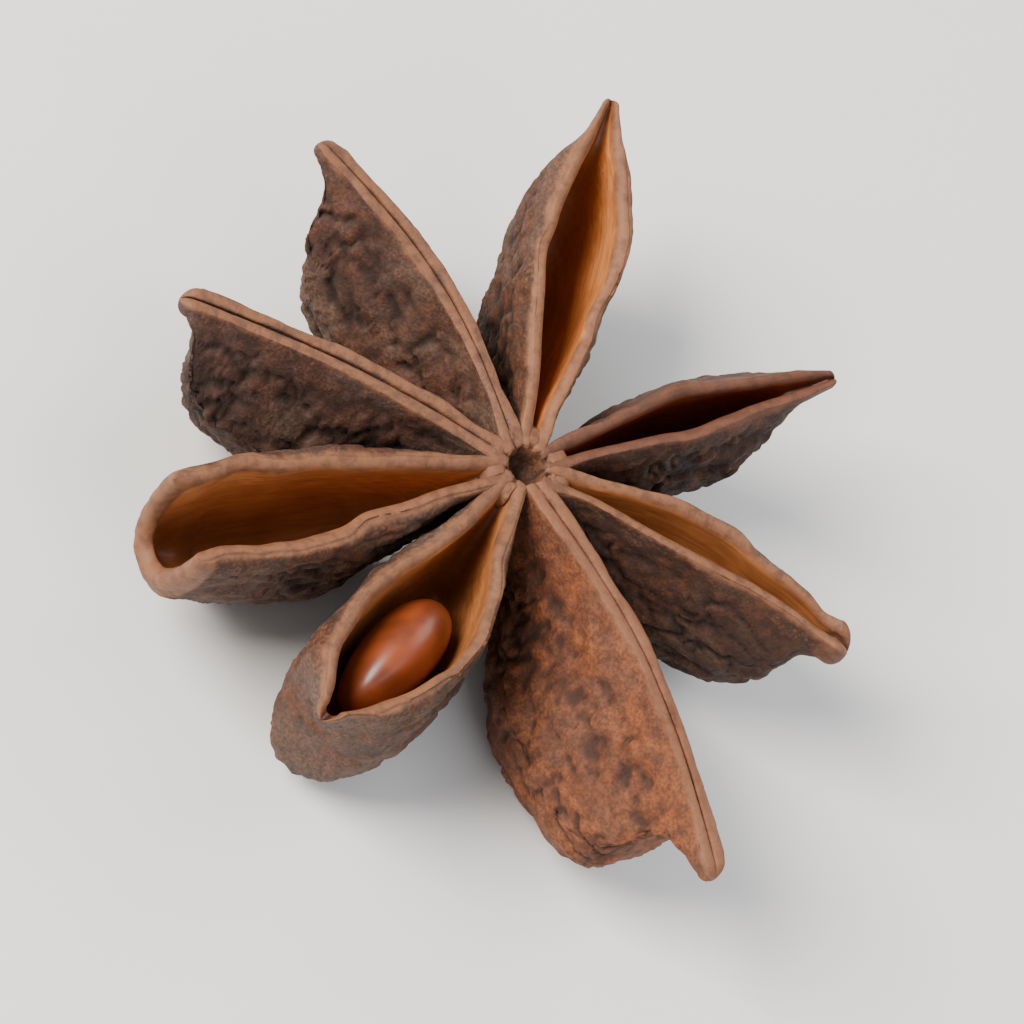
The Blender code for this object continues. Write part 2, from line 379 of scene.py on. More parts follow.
@dataclass(frozen=True)
class DriedHusk:
    """Sun-dried woody husk, shrunk on itself: dull and mottled outside, waxy and tan inside.

    The outside is matt and dusted with a grey bloom in patches, with painted shade in its creases
    and specks lighter on its ridges, partly rubbed wear and partly painted highlight. The lips are
    thin pale edges, and the hollow's lining is smooth, streaked lengthwise and faintly glossy, with
    painted shade towards the hollow's floor and in a shut seam's crack.
    """

    name: str
    outside: str = "#50301f"
    warm: str = "#65391f"
    # darker brown for the mottle and pores, and painted shade in the creases
    shade: str = "#25140d"
    bloom: str = "#665042"
    bloom_share: float = 0.35
    lip: str = "#7c5035"
    lining: str = "#bb7a47"
    lining_shade: str = "#96592f"
    # painted shade towards the hollow's floor
    floor: str = "#4e2814"
    # painted shade in the crack of a shut seam
    crack_shade: str = "#22120b"

    PATCH_MM = 4.0  # across a patch of bloom
    WARM_MM = 1.7  # across a patch of the warmer brown
    MOTTLE_MM = 0.5
    GRAIN_MM = 0.14  # the real grain goes finer still, too fine to show
    STREAK_MM = (2.6, 0.16, 0.16)  # along, across and down in the hollow
    OUTSIDE_ROUGHNESS = 0.74
    LIP_ROUGHNESS = 0.62
    LINING_ROUGHNESS = 0.38
    GRAIN_BUMP_MM = 0.06
    STREAK_RELIEF = 0.3  # relief of the lining's streaks as a share of the grain's
    BUMP_STRENGTH = 0.7
    IOR = 1.45

    def material(self) -> bpy.types.Material:
        """Builds the husk's finish, which reads the husk's layers and the place in the piece.

        Returns:
            The material.
        """
        material, tree = new_material(self.name)
        place = add(tree, "ShaderNodeTexCoord").outputs["Object"]
        lip, inside, deep, crease, crack_shade = (
            add(tree, "ShaderNodeAttribute", attribute_name=layer).outputs["Fac"]
            for layer in HUSK_LAYERS
        )
        patches, warmth, mottle, grain = (
            add(
                tree,
                "ShaderNodeTexNoise",
                {"Vector": place, "Scale": 1 / (size * MM), "Detail": detail, "Roughness": 0.6},
            ).outputs["Fac"]
            for size, detail in (
                (self.PATCH_MM, 3.0),
                (self.WARM_MM, 4.0),
                (self.MOTTLE_MM, 5.0),
                (self.GRAIN_MM, 3.0),
            )
        )
        streak = self._streaks(tree)

        colour = self._outside_colour(tree, patches, warmth, mottle, grain, crease)
        lining = self._lining_colour(tree, streak, warmth, deep)
        edge = coated(tree, linear(self.lip), linear(self.outside), mottle, (0.58, 0.36), 0.55)
        # over the outside: the lining, the pale lips, and painted shade in a shut seam's crack
        for share, over in ((inside, lining), (lip, edge), (crack_shade, linear(self.crack_shade))):
            mix = add(tree, "ShaderNodeMix", {0: share, 6: colour, 7: over}, data_type="RGBA")
            colour = mix.outputs[2]

        rough = add(
            tree,
            "ShaderNodeMix",
            {0: inside, 2: self.OUTSIDE_ROUGHNESS, 3: self.LINING_ROUGHNESS},
            data_type="FLOAT",
        ).outputs[0]
        rough = add(
            tree, "ShaderNodeMix", {0: lip, 2: rough, 3: self.LIP_ROUGHNESS}, data_type="FLOAT"
        ).outputs[0]
        pores = add(tree, "ShaderNodeMath", {0: grain, 1: mottle}, operation="ADD").outputs[0]
        ripples = add(
            tree, "ShaderNodeMath", {0: streak, 1: self.STREAK_RELIEF}, operation="MULTIPLY"
        ).outputs[0]
        height = add(
            tree, "ShaderNodeMix", {0: inside, 2: pores, 3: ripples}, data_type="FLOAT"
        ).outputs[0]
        bump = add(
            tree,
            "ShaderNodeBump",
            {"Height": height, "Strength": self.BUMP_STRENGTH, "Distance": self.GRAIN_BUMP_MM * MM},
        ).outputs["Normal"]
        shader = add(
            tree,
            "ShaderNodeBsdfPrincipled",
            {"Base Color": colour, "Roughness": rough, "Normal": bump, "IOR": self.IOR},
        )
        add(tree, "ShaderNodeOutputMaterial", {"Surface": shader.outputs["BSDF"]})
        return material

    def _outside_colour(
        self,
        tree: bpy.types.NodeTree,
        patches: Any,
        warmth: Any,
        mottle: Any,
        grain: Any,
        crease: Any,
    ) -> Any:
        """The dull outside: warm patches, mottle, bloom, pores, painted shade in the creases, and
        ridges lighter with rubbed wear and painted highlight.

        Args:
            tree: the material's node tree.
            patches: noise for the bloom.
            warmth: noise for the warmer brown.
            mottle: noise for the mottle.
            grain: noise for the pores and the ridges' lighter specks of rubbed wear and painted
                highlight.
            crease: how deep in a crease a point is.

        Returns:
            The colour, as an output socket.
        """
        shade = linear(self.shade)
        colour = coated(tree, linear(self.outside), linear(self.warm), warmth, (0.45, 0.58))
        colour = coated(tree, colour, shade, mottle, (0.62, 0.34), 0.6)
        colour = coated(tree, colour, linear(self.bloom), patches, (0.44, 0.62), self.bloom_share)
        colour = coated(tree, colour, shade, grain, (0.62, 0.36), 0.5)
        # painted shade in the creases
        colour = coated(tree, colour, shade, crease, (0.35, 0.95))
        # lighter specks on the ridges, partly rubbed wear and partly painted highlight
        ridge_wear_and_highlight = add(
            tree,
            "ShaderNodeMapRange",
            {"Value": crease, "From Min": 0.2, "From Max": 0.0, "To Max": 0.5},
            interpolation_type="SMOOTHSTEP",
        ).outputs["Result"]
        return coated(tree, colour, linear(self.lip), grain, (0.5, 0.72), ridge_wear_and_highlight)

    def _lining_colour(self, tree: bpy.types.NodeTree, streak: Any, warmth: Any, deep: Any) -> Any:
        """The lining: streaked lengthwise, clouded, with painted shade towards the hollow's floor.

        Args:
            tree: the material's node tree.
            streak: noise drawn out along the follicle.
            warmth: noise for the clouds.
            deep: how deep in the hollow a point is.

        Returns:
            The colour, as an output socket.
        """
        shade = linear(self.lining_shade)
        colour = coated(tree, shade, linear(self.lining), streak, (0.22, 0.66))
        colour = coated(tree, colour, shade, warmth, (0.6, 0.4), 0.5)
        # painted shade towards the hollow's floor
        return coated(tree, colour, linear(self.floor), deep, (0.35, 1.0), 0.8)

    def _streaks(self, tree: bpy.types.NodeTree) -> Any:
        """Draws noise out along the follicle, by the place in the piece.

        Args:
            tree: the material's node tree.

        Returns:
            The noise, as an output socket.
        """
        local = add(tree, "ShaderNodeAttribute", attribute_name=LOCAL_LAYER).outputs["Vector"]
        scale = tuple(1 / size for size in self.STREAK_MM)
        drawn = add(tree, "ShaderNodeMapping", {"Vector": local, "Scale": scale}).outputs["Vector"]
        made = add(tree, "ShaderNodeTexNoise", {"Vector": drawn, "Scale": 1.0, "Detail": 4.0})
        return made.outputs["Fac"]


@dataclass(frozen=True)
class SeedCoat:
    """The hard, smooth coat of a ripe seed: chestnut brown, with a soft mirror of the lights."""

    name: str = "seed_coat"
    body: str = "#823c1b"
    shade: str = "#652d14"
    scar: str = "#b58a63"

    CLOUD_MM = 1.8
    ROUGHNESS = 0.4
    IOR = 1.5
    COAT = 0.12
    COAT_ROUGHNESS = 0.2

    def material(self) -> bpy.types.Material:
        """Builds the seed's finish, which reads the scar where the seed hung.

        Returns:
            The material.
        """
        material, tree = new_material(self.name)
        place = add(tree, "ShaderNodeTexCoord").outputs["Object"]
        cloud = add(
            tree,
            "ShaderNodeTexNoise",
            {"Vector": place, "Scale": 1 / (self.CLOUD_MM * MM), "Detail": 3.0},
        ).outputs["Fac"]
        scar = add(tree, "ShaderNodeAttribute", attribute_name="scar").outputs["Fac"]
        body = coated(tree, linear(self.shade), linear(self.body), cloud, (0.35, 0.65))
        scarred = {0: scar, 6: body, 7: linear(self.scar)}
        colour = add(tree, "ShaderNodeMix", scarred, data_type="RGBA").outputs[2]
        shader = add(
            tree,
            "ShaderNodeBsdfPrincipled",
            {
                "Base Color": colour,
                "Roughness": self.ROUGHNESS,
                "IOR": self.IOR,
                "Coat Weight": self.COAT,
                "Coat Roughness": self.COAT_ROUGHNESS,
            },
        )
        add(tree, "ShaderNodeOutputMaterial", {"Surface": shader.outputs["BSDF"]})
        return material


@dataclass(frozen=True)
class PaleTable:
    """A matt, near-white laminate table top."""

    name: str = "pale_table"
    colour: str = "#efeeec"
    roughness: float = 0.85

    def material(self) -> bpy.types.Material:
        """Builds the table's plain finish.

        Returns:
            The material.
        """
        material, tree = new_material(self.name)
        shader = add(
            tree,
            "ShaderNodeBsdfPrincipled",
            {"Base Color": linear(self.colour), "Roughness": self.roughness},
        )
        add(tree, "ShaderNodeOutputMaterial", {"Surface": shader.outputs["BSDF"]})
        return material


# --- the pod -----------------------------------------------------------------------------------


@dataclass(frozen=True)
class HuskBuild:
    """Sizes that every follicle and the column share, in millimetres and degrees."""

    seam_height: float = 8.3  # above the table
    seam_dip: float = 0.5  # how far the seam starts under its height, in the column
    root_radius: float = 0.75
    lip_thickness: float = 0.5
    lip_crown: float = 0.12
    wall: float = 0.75
    min_cover: float = 0.3  # how far the hollow starts under the crown of the lips
    undercut: float = 1.0  # the most that the hollow is wider than the gap over it, on each side
    groove_width: float = 0.26
    groove_depth: float = 0.45
    lean: float = 10.0


@dataclass
class Follicle:
    """One boat-shaped follicle, as a grid from its root in the column to the end of its beak.

    Lengths are in millimetres and angles in degrees. Sways, bows and rolls are anticlockwise.
    """

    number: int
    azimuth: float  # direction it points in, seen from above
    length: float  # from the pod's axis to the end of its beak
    depth: float  # from the seam to the belly, where it is deepest
    width: float  # across its flanks, where it is widest
    finish: DriedHusk
    seam: Seam = Seam.SHUT
    gape: float = 0.0  # widest gap between its lips
    gape_at: float = 0.6  # where along the seam the gap is widest, as a share of its length
    hollow: float = 0.0  # depth of the hollow under the lips
    split: float = 0.0  # share of the gape that is left at the beak
    rise: float = 0.0  # height of the beak above the seam's start
    blunt: float = 0.5  # 0 tapers to its beak, 1 drops straight down from it
    beak: float = 0.12  # the beak's share of the length
    tip: float = 0.5  # across the end of the beak
    roll: float = 0.0  # how far the seam leans over, seen from the axis
    sway: float = 0.0  # how far the beak swings aside
    bow: float = 0.0  # how far the middle of the seam bows aside
    bead: float = 0.0  # how much wider than its beak the end is, as a share
    build: HuskBuild = field(default_factory=HuskBuild)

    # Rings of the grid. Above 1, crowding puts them closer towards the beak.
    STATIONS = 176
    PLAIN_STATIONS = 17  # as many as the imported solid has
    TIP_STATIONS = 8
    CROWDING = 1.25

    # How it grows from root to beak: places along its body, and shares of its depth and half width
    # there. A blunt or a split follicle has more of both near its beak.
    BODY_PLACES = (0, 0.16, 0.34, 0.55, 0.76, 0.90, 1)
    DEPTH_SHARES = (0.58, 0.66, 0.86, 1, 0.82, 0.48)
    DEPTH_IF_BLUNT = (0, 0, 0, 0, 0.15, 0.38)
    WIDTH_SHARES = (0.24, 0.42, 0.74, 0.97, 0.98, 0.72)
    WIDTH_IF_BLUNT = (0, 0, 0, 0, 0, 0.1)
    WIDTH_IF_SPLIT = (0, 0, 0, 0, 0, 0.12)
    TIP_DEPTH = 1.3  # depth of a beak's end as a share of the size across it
    TIP_HALF_WIDTH = 0.62
    TIP_LENGTH = 0.7  # length of the beak's rounded end as a share of the size across it
    SPLIT_DEPTH = 0.35  # share of its depth that a split follicle keeps at its end
    SHUT_SHARE = 0.2  # share of the groove's width that a tightly shut seam has
    SHUT_COVER = 0.4  # share of the cover over the hollow that a tightly shut seam has

    # The section: the gape from which it is that of an open follicle, the level of the widest
    # place as a share of the depth, and the powers of the ovals.
    FULL_GAPE = 2.4
    WIDEST_SHUT = 0.62
    WIDEST_LIFT = 0.34
    ROOF_SHUT = 1.9
    ROOF_DROP = 1.1
    OVAL = 0.8

    # Each lip wanders in and out by up to this share of the gap, in waves about this long.
    LIP_WANDER = 0.16
    WANDER_MM = 1.6

    # How far from a lip's crest its pale edge ends and starts to fade, and how that wanders.
    SHUT_EDGE = (0.46, 0.14)
    OPEN_EDGE = (0.58, 0.26)
    EDGE_WANDER = 0.5
    EDGE_WANDER_MM = 0.9

    # Shares of the length: where the lining starts, and where a bead and a split end's rim do.
    LINING_FROM = (0.01, 0.06)
    BEAD_FROM = (0.90, 0.95)
    RIM_FROM = (0.945, 0.966)

    # Relief: the size along, across and down of one bump, and its height or depth.
    LUMP_MM = (3.4, 2.2, 2.2)
    LUMP_HEIGHT = 0.2
    WRINKLE_MM = (2.3, 0.95, 0.95)
    WRINKLE_DEPTH = 0.25
    FURROW_MM = (0.95, 0.45, 0.45)
    FURROW_DEPTH = 0.11
    GRAIN_MM = (0.36, 0.3, 0.3)
    GRAIN_HEIGHT = 0.022
    RIPPLE_MM = (3.5, 0.45, 0.45)
    RIPPLE_HEIGHT = 0.05
    WARP_MM = 1.6  # noise of this size bends the wrinkles and furrows, by so much of their size
    WRINKLE_WARP = 1.5
    FURROW_WARP = 1.8
    ROUGH_REACH = (0.25, 2.1)  # wrinkles start and are full this far from the lip's crest
    LIP_ROUGH = 0.12  # share of the wrinkles that the lips have
    LIP_GRAIN = 0.4  # grain that a lip has besides, as a share of the flanks'
    CALM_ROOT = (0.03, 0.2)  # relief starts and is full at these shares of the length
    CALM_BEAK = {Seam.SHUT: 0.82, Seam.GAPING: 0.62, Seam.SPLIT: 0.62}  # it fades from here
    BEAK_ROUGH = 0.25  # to this share of it

    @property
    def name(self) -> str:
        """The piece's name."""
        return f"follicle_{self.number}"

    @property
    def counts(self) -> tuple[int, int, int, int]:
        """Ring points on one side: low flank, high flank, lip and hollow."""
        hollow = {Seam.SHUT: 8, Seam.GAPING: 28, Seam.SPLIT: 36}[self.seam]
        return 38, 32, 8, hollow

    def stations(self, count: int) -> Grid:
        """Places along the seam from 0 to 1, closer towards the beak, as a column of numbers."""
        return (1 - (1 - np.linspace(0, 1, count)) ** self.CROWDING)[:, None]

    def sizes(self, share: Grid) -> tuple[Grid, Grid, Grid, Grid]:
        """Depth, half width, half gap and hollow along the seam.

        Each is a smooth curve through a few values from root to beak. The opening of a split
        follicle stays wide up to its beak, and a blunt one keeps its depth longer.

        Args:
            share: places along the seam, 0 at the root and 1 at the beak.

        Returns:
            The four sizes in millimetres, in the shape of `share`.
        """
        b, blunt, split = self.build, self.blunt, self.split
        end = 1 - self.beak
        knots = (*(end * np.array(self.BODY_PLACES)), 1)
        tip = self.TIP_DEPTH * self.tip / self.depth + self.SPLIT_DEPTH * split
        neck = 1.4 * tip + 0.05 + 0.08 * blunt
        shape = np.array(self.DEPTH_SHARES) + np.array(self.DEPTH_IF_BLUNT) * blunt
        depth = self.depth * smooth_curve(knots, (*shape, neck, tip), share)

        half = self.width / 2
        tip = self.TIP_HALF_WIDTH * self.tip + split * (self.gape / 2 + b.lip_thickness)
        neck = 0.25 * half + 0.8 * tip
        shape = np.array(self.WIDTH_SHARES) + np.array(self.WIDTH_IF_BLUNT) * blunt
        shape = half * (shape + np.array(self.WIDTH_IF_SPLIT) * split)
        half_width = smooth_curve(knots, (*shape, neck, tip), share)

        knots, shape = (0, 0.10, self.gape_at, end, 1), (0, 0.08, 1, 0.2 + 0.8 * split, split)
        opening = smooth_curve(knots, shape, share)
        half_gap = b.groove_width / 2 * np.minimum(1, half_width / half + 0.3)
        if self.seam is Seam.SHUT:
            half_gap = half_gap * self.SHUT_SHARE
        half_gap = half_gap + self.gape / 2 * opening

        knots, shape = (0, 0.08, 0.35, 0.7, end, 1), (0, 0.1, 0.9, 1, 0.25 + 0.75 * split, split)
        emptied = smooth_curve(knots, shape, share)
        groove = b.groove_depth * (0.12 + 0.88 * np.sin(np.pi * share))
        hollow = np.minimum(groove + self.hollow * emptied, depth * (0.66 + 0.15 * split))
        return depth, half_width, half_gap, hollow

    def outline(self, share: Grid) -> tuple[Grid, Grid, dict[str, Grid]]:
        """The ring of every section as distances across and down from the seam.

        Both flanks are quarters of ovals below and above the widest level. The lip is half a
        round, and the hollow is an oval that is wider than the gap over it. The left half mirrors
        the right one, but its lip wanders on its own.

        Args:
            share: places along the seam, as a column of numbers.

        Returns:
            Across and down in millimetres, and what the material reads at each point.
        """
        b = self.build
        depth, half_width, half_gap, hollow = self.sizes(share)
        open_share = min(1.0, self.gape / self.FULL_GAPE)
        widest = self.WIDEST_SHUT - self.WIDEST_LIFT * open_share
        roof = self.ROOF_SHUT - self.ROOF_DROP * open_share
        low_count, high_count, lip_count, hollow_count = self.counts
        low = np.linspace(np.pi / 2, 0, low_count + 1)[None, 1:]
        high = np.linspace(0, np.pi / 2, high_count + 1)[None, 1:]
        over = np.linspace(0, np.pi, lip_count + 1)[None, 1:]
        inner = np.linspace(0, np.pi / 2, hollow_count + 1)[None, 1:-1]
        crown = np.minimum(b.lip_crown, depth * 0.1)
        cover = self.SHUT_COVER if self.seam is Seam.SHUT else 1
        top = np.minimum(b.min_cover, hollow * 0.4) * cover

        sides = []
        for wander in (self._wander(share, row) for row in (0.0, 9.7)):
            gap = half_gap * (1 + wander * min(1.0, 0.35 + self.gape))
            lip_out = np.minimum(gap + b.lip_thickness * (1 + 0.8 * wander), half_width * 0.9)
            lip_in = np.minimum(gap, lip_out * 0.8)
            room = lip_in + open_share * np.clip(half_width - b.wall - lip_in, 0, b.undercut)
            across = [
                half_width * np.cos(low) ** self.OVAL,
                lip_out + (half_width - lip_out) * np.cos(high) ** roof,
                (lip_out + lip_in) / 2 + (lip_out - lip_in) / 2 * np.cos(over),
                np.cos(inner) ** self.OVAL * (lip_in + (room - lip_in) * np.sin(2 * inner)),
            ]
            down = [
                depth * (widest + (1 - widest) * np.sin(low)),
                depth * widest * (1 - np.sin(high) ** roof),
                top * (over / np.pi) ** 2 - crown * np.sin(over),
                top + (hollow - top) * np.sin(inner),
            ]
            sides.append((np.concatenate(across, axis=1), np.concatenate(down, axis=1)))
        (right_x, right_y), (left_x, left_y) = sides
        middle = np.zeros_like(share)
        across = np.concatenate([middle, right_x, middle, -left_x[:, ::-1]], axis=1)
        down = np.concatenate([depth, right_y, hollow, left_y[:, ::-1]], axis=1)

        flank = np.zeros((1, low_count + high_count))
        within = np.concatenate([flank, ramp(0.3, 1.0, over / np.pi), np.ones_like(inner)], axis=1)
        sunk = np.concatenate([flank, 0 * over, np.sin(inner)], axis=1)
        reads = {}
        for layer, half in (("inside", within + middle), ("deep", sunk + middle)):
            reads[layer] = np.concatenate([middle, half, middle + 1, half[:, ::-1]], axis=1)
        shut = 1.0 if self.seam is Seam.SHUT else 0.0
        # painted shade in the crack of a shut seam
        reads["crack_shade"] = shut * ramp(0.2, 0.8, reads["deep"])
        return across, down, reads

    def _wander(self, share: Grid, row: float) -> Grid:
        """How far a lip wanders in and out, read from one row of smooth noise.

        Args:
            share: places along the seam, as a column of numbers.
            row: where the row lies in the noise.

        Returns:
            Shares of the gap, one for each station.
        """
        along = share * self.length / self.WANDER_MM
        walk = np.concatenate([along, share * 0 + row, share * 0], axis=1)
        return (noise(walk, 31 * self.number) - 0.5)[:, None] * 2 * self.LIP_WANDER

    def place(self, across: Grid, down: Grid, share: Grid) -> Grid:
        """Puts the sections along the seam, about the pod's axis, in millimetres.

        The seam runs straight out, bows sideways by half a sine and swings at its beak by a
        square. A section hangs from it, rolls about it, and leans outwards towards the beak.

        Args:
            across: distances across the seam, one row to a station.
            down: distances down from the seam.
            share: the stations' places along the seam, as a column of numbers.

        Returns:
            The points, in the shape of `across` with their three coordinates last.
        """
        b = self.build
        turn = np.radians(self.azimuth)
        out = np.array((np.cos(turn), np.sin(turn), 0.0))
        aside = np.array((-np.sin(turn), np.cos(turn), 0.0))
        up = np.array((0.0, 0.0, 1.0))
        bulge = np.sin(np.pi * np.minimum(share, 1))
        seam = (
            out * (b.root_radius + (self.length - b.root_radius) * share)
            + aside * (self.sway * share**2 + self.bow * bulge)
            + up * (b.seam_height - b.seam_dip * (1 - share) ** 3 + self.rise * share**2)
        )
        roll = np.radians(self.roll) * bulge
        leaning = smooth_curve((0, 0.35, 0.85, 1), (0, 0, 1, 0.2 + 0.8 * self.split), share)
        lean = np.radians(b.lean) * self.blunt * leaning
        side = aside * np.cos(roll) + up * np.sin(roll)
        hang = aside * np.sin(roll) - up * np.cos(roll)
        hang = hang * np.cos(lean) + out * np.sin(lean)
        return seam[:, None] + across[..., None] * side[:, None] + down[..., None] * hang[:, None]

    def spot(self, share: float, down: float) -> Grid:
        """The point `down` millimetres under the seam, at one place along it."""
        return self.place(np.zeros((1, 1)), np.full((1, 1), down), np.array([[share]]))[0, 0]

    def plain_points(self) -> Grid:
        """The smooth follicle with no relief, coarsely, to find the pod's place by.

        Returns:
            Its points about the pod's axis, in millimetres.
        """
        share = self.stations(self.PLAIN_STATIONS)
        across, down, _ = self.outline(share)
        return self.place(across, down, share)

    def relief(self, local: Grid, share: Grid, reads: dict[str, Grid]) -> tuple[Grid, Grid]:
        """Height of the husk's relief over the smooth form, and how deep in a crease a point is.

        Outside it is soft lumps, wrinkles that run along the follicle and break up, finer furrows
        between them, and grain. All grow from the lips down to the belly. Inside it is faint
        ripples along the hollow.

        Args:
            local: millimetres along, across and down in the follicle.
            share: places along the seam, as a column of numbers.
            reads: what is known of each point so far.

        Returns:
            Height in millimetres, and the crease from 0 to 1.
        """
        seed = 7 * self.number
        outside = 1 - reads["inside"]
        grown = ramp(*self.ROUGH_REACH, reads["reach"])
        rough = outside * (self.LIP_ROUGH + (1 - self.LIP_ROUGH) * grown)
        kept = ramp(1.0, self.CALM_BEAK[self.seam], share)
        calm = ramp(*self.CALM_ROOT, share) * (self.BEAK_ROUGH + (1 - self.BEAK_ROUGH) * kept)
        warp = [layered_noise(local / self.WARP_MM, seed + k) - 0.5 for k in (11, 12, 13)]
        warp = np.stack(warp, axis=-1)
        wrinkle = creases(local / self.WRINKLE_MM + self.WRINKLE_WARP * warp, seed + 2)
        furrow = creases(local / self.FURROW_MM + self.FURROW_WARP * warp, seed + 3, 0.8)
        lumps = layered_noise(local / self.LUMP_MM, seed + 4, 2) - 0.5
        grain = noise(local / self.GRAIN_MM, seed + 5) - 0.5
        ripple = noise(local / self.RIPPLE_MM, seed + 6) - 0.5
        height = (
            outside * calm * (lumps * 2 - 0.35) * self.LUMP_HEIGHT
            - rough * calm * (wrinkle * self.WRINKLE_DEPTH + furrow * self.FURROW_DEPTH)
            + (rough + self.LIP_GRAIN * reads["lip"]) * grain * 2 * self.GRAIN_HEIGHT
            + reads["inside"] * ripple * self.RIPPLE_HEIGHT * ramp(0.05, 0.3, share)
        )
        crease = rough * calm * np.clip(0.8 * wrinkle + 0.4 * furrow, 0, 1)
        return height, crease

    def make(self, pod_axis: Grid) -> bpy.types.Object:
        """The finished follicle: smooth form, rounded tip, relief, and flat where it rests.

        Args:
            pod_axis: where the pod's axis stands, in millimetres.

        Returns:
            The follicle's object, with its material.
        """
        end = 1 - self.TIP_LENGTH * self.tip / self.length
        body = end * self.stations(self.STATIONS)
        across, down, reads = self.outline(body)
        points = self._beaded(self.place(across, down, body), body)
        local = np.stack([body * self.length + 0 * across, across, down], axis=-1)

        reads["reach"] = self._reach(points)
        wander = layered_noise(local / self.EDGE_WANDER_MM, 7 * self.number + 8) - 0.5
        edge = reads["reach"] + self.EDGE_WANDER * wander
        fade = self.SHUT_EDGE if self.seam is Seam.SHUT else self.OPEN_EDGE
        reads["lip"] = ramp(*fade, edge) * (1 - ramp(0.2, 0.6, reads["deep"]))
        height, reads["crease"] = self.relief(local, body, reads)
        self._finish_ends(reads, body)
        normal = normals_of(points)
        if normal[len(body) // 2, 0, 2] > 0:  # the belly's normals have to point down
            normal = -normal
        points = points + normal * height[..., None]

        points, reads, local = self._closed_ends(points, reads, local)
        points[..., :2] += pod_axis
        points[..., 2] = np.maximum(points[..., 2], 0)
        made = mesh_of(self.name, points, {layer: reads[layer] for layer in HUSK_LAYERS}, local)
        made.data.materials.append(self.finish.material())
        return made

    def _finish_ends(self, reads: dict[str, Grid], share: Grid) -> None:
        """Dresses the root as husk, a bead or a split end as lip, and a shut seam as unlined.

        Args:
            reads: what is known of each point, which this changes.
            share: places along the seam, as a column of numbers.
        """
        reads["inside"] = reads["inside"] * ramp(*self.LINING_FROM, share)
        if self.seam is Seam.SHUT:
            reads["inside"] = 0 * reads["inside"]
        if self.bead:
            closed = ramp(*self.BEAD_FROM, share)
            reads["inside"] = reads["inside"] * (1 - closed)
            reads["lip"] = np.maximum(reads["lip"], 0.6 * closed)
        if self.seam is Seam.SPLIT:
            reads["lip"] = np.maximum(reads["lip"], ramp(*self.RIM_FROM, share))

    def _beaded(self, points: Grid, share: Grid) -> Grid:
        """The beak's end swollen to a bead behind a narrow neck, by two bell curves.

        Args:
            points: the follicle's points.
            share: places along the seam, as a column of numbers.

        Returns:
            The points, moved away from or towards the middle of their ring.
        """
        bead_at, bead_long = 0.975, 0.022
        neck_at, neck_long, pinch = 0.90, 0.035, 0.7
        swell = np.exp(-(((share - bead_at) / bead_long) ** 2))
        swell = swell - pinch * np.exp(-(((share - neck_at) / neck_long) ** 2))
        middle = points.mean(axis=1, keepdims=True)
        return middle + (points - middle) * (1 + self.bead * swell)[..., None]

    def _reach(self, points: Grid) -> Grid:
        """How far round its ring each point is from the nearer lip's crest.

        Args:
            points: the follicle's points.

        Returns:
            Millimetres, one for each point.
        """
        steps = np.linalg.norm(points - np.roll(points, 1, axis=1), axis=-1)
        steps[:, 0] = 0
        around = steps.cumsum(axis=1)
        low, high, lip, _ = self.counts
        right = low + high + lip // 2
        left = 2 * sum(self.counts) - right
        to_right = np.abs(around - around[:, right : right + 1])
        to_left = np.abs(around - around[:, left : left + 1])
        return np.minimum(to_right, to_left)

    def _closed_ends(
        self, points: Grid, reads: dict[str, Grid], local: Grid
    ) -> tuple[Grid, dict[str, Grid], Grid]:
        """Adds the rings that round off the beak, and one that closes the root to a point.

        Each ring of the beak's end shrinks by a cosine towards its middle and moves out by a
        sine. The end of a split follicle shrinks towards the middle of its wall instead.

        Args:
            points: the follicle's points.
            reads: what is known of each point.
            local: each point's place in the follicle.

        Returns:
            The three with a ring more at the root and the tip's rings at the beak.
        """
        last = points[-1]
        forward = self.spot(1.0, 0.0) - self.spot(0.97, 0.0)
        forward /= np.linalg.norm(forward)
        middle = self._wall_middle(last) if self.seam is Seam.SPLIT else last.mean(axis=0)[None]
        thick = np.linalg.norm(last - middle, axis=-1).mean()
        angles = np.linspace(0, np.pi / 2, self.TIP_STATIONS + 1)[1:, None, None]
        ends = middle + (last - middle) * np.cos(angles) + forward * thick * np.sin(angles)
        root = points[:1].mean(axis=1, keepdims=True) + 0 * points[:1]

        def longer(values: Grid) -> Grid:
            """The values with the first row once more, and the last as often as the tip needs."""
            tip = np.repeat(values[-1:], self.TIP_STATIONS, axis=0)
            return np.concatenate([values[:1], values, tip])

        return (
            np.concatenate([root, points, ends]),
            {layer: longer(values) for layer, values in reads.items()},
            longer(local),
        )

    def _wall_middle(self, ring: Grid) -> Grid:
        """The line half way through the wall of an open ring.

        Outer points pair with inner points at the same share of the way from belly to lip.

        Args:
            ring: the points of one ring.

        Returns:
            One point for each ring point.
        """
        low, high, lip, hollow = self.counts
        outer = low + high + lip // 2
        side = low + high + lip + hollow - 1
        rising, falling = np.linspace(0, 1, outer + 1), np.linspace(1, 0, side - outer + 2)
        share = np.concatenate([rising, falling[1:]])
        right = ring[: side + 2]
        left = np.concatenate([ring[:1], ring[:side:-1]])
        lines = []
        for half in (right, left):
            inner_half = half[outer:][::-1]
            lines.append([
                np.interp(share, rising, half[: outer + 1, k])
                + np.interp(share, falling[::-1], inner_half[:, k])
                for k in range(3)
            ])
        right, left = (np.stack(line, axis=-1) / 2 for line in lines)
        return np.concatenate([right, left[1:-1][::-1]])


